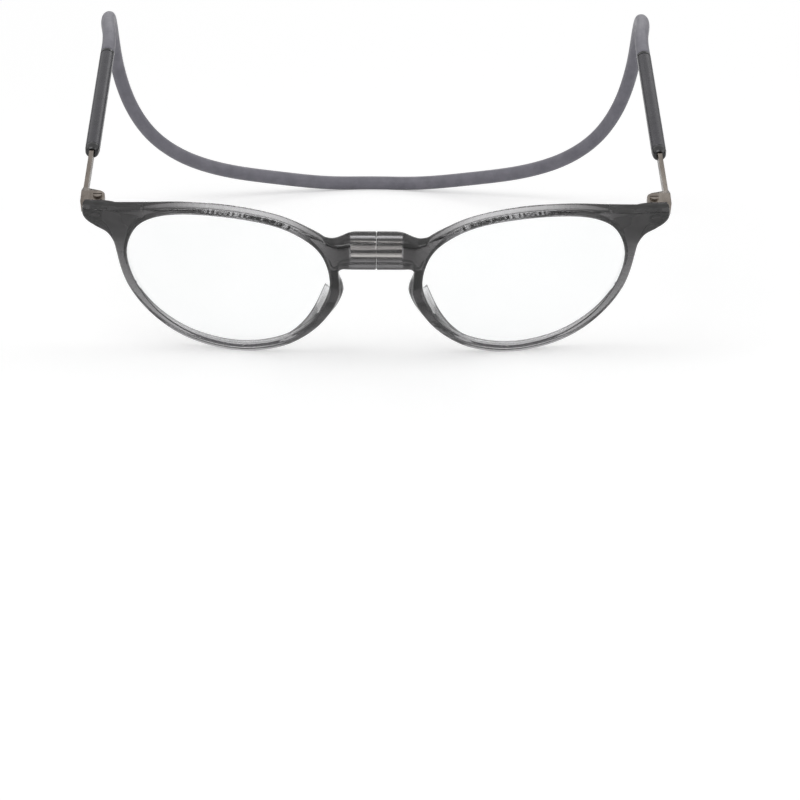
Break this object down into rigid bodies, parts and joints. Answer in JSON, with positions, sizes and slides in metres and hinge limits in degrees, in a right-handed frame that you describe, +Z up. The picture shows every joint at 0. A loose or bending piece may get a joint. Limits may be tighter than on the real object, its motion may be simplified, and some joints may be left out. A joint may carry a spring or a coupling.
{
  "type": "neck reading glasses",
  "caption": "Reading glasses that part at a magnetic bridge, with folding sliding arms on a springy band that goes round the neck.",
  "frame": {"origin": "on the table, under the middle of the box that holds the glasses at rest", "axes": "+X to the left of the wearer, +Y from the front to the nape, +Z up, with the glasses resting on both rims and the nape of the band"},
  "size_m": [0.153, 0.1836, 0.0676],
  "materials": {
    "smoky_plastic": "translucent smoky grey moulding, polished",
    "clear_lens": "clear, polished",
    "nickel": "nickel plated",
    "hinge_steel": "satin",
    "arm_steel": "brushed",
    "dark_plastic": "matte",
    "sleeve_plastic": "semi matte",
    "band_rubber": "satin"
  },
  "bodies": {
    "band": {"neck_band": "band_rubber"},
    "left_side": {"left_sleeve": "sleeve_plastic", "left_collar": "dark_plastic", "left_plug": "dark_plastic"},
    "left_temple": {"left_arm": "arm_steel", "left_slider": "dark_plastic", "left_hinge_screw": "hinge_steel"},
    "left_front": {"left_rim": "smoky_plastic", "left_lens": "clear_lens", "left_magnet": "nickel", "left_hinge_leaf": "hinge_steel"},
    "right_side": {"right_sleeve": "sleeve_plastic", "right_collar": "dark_plastic", "right_plug": "dark_plastic"},
    "right_temple": {"right_arm": "arm_steel", "right_slider": "dark_plastic", "right_hinge_screw": "hinge_steel"},
    "right_front": {"right_rim": "smoky_plastic", "right_lens": "clear_lens", "right_magnet": "nickel", "right_hinge_leaf": "hinge_steel"}
  },
  "joints": [
    {"name": "left_spread", "type": "hinge", "parent": "band", "child": "left_side", "pos_m": [0, 0.0864, 0.00456], "axis": [0, -0.4493, 0.8934], "range_deg": [0, 20], "stiffness_Nm_per_rad": 0.3, "deforming": ["neck_band"]},
    {"name": "left_extend", "type": "slide", "parent": "left_side", "child": "left_temple", "axis": [0, -0.9373, -0.3486], "range_m": [-0.015, 0.015]},
    {"name": "left_fold", "type": "hinge", "parent": "left_temple", "child": "left_front", "pos_m": [0.06723, -0.07358, 0.03867], "axis": [0, 0.4493, -0.8934], "range_deg": [0, 85]},
    {"name": "right_spread", "type": "hinge", "parent": "band", "child": "right_side", "pos_m": [0, 0.0864, 0.00456], "axis": [0, 0.4493, -0.8934], "range_deg": [0, 20], "stiffness_Nm_per_rad": 0.3, "deforming": ["neck_band"]},
    {"name": "right_extend", "type": "slide", "parent": "right_side", "child": "right_temple", "axis": [0, -0.9373, -0.3486], "range_m": [-0.015, 0.015]},
    {"name": "right_fold", "type": "hinge", "parent": "right_temple", "child": "right_front", "pos_m": [-0.06723, -0.07358, 0.03867], "axis": [0, -0.4493, 0.8934], "range_deg": [0, 85]}
  ]
}
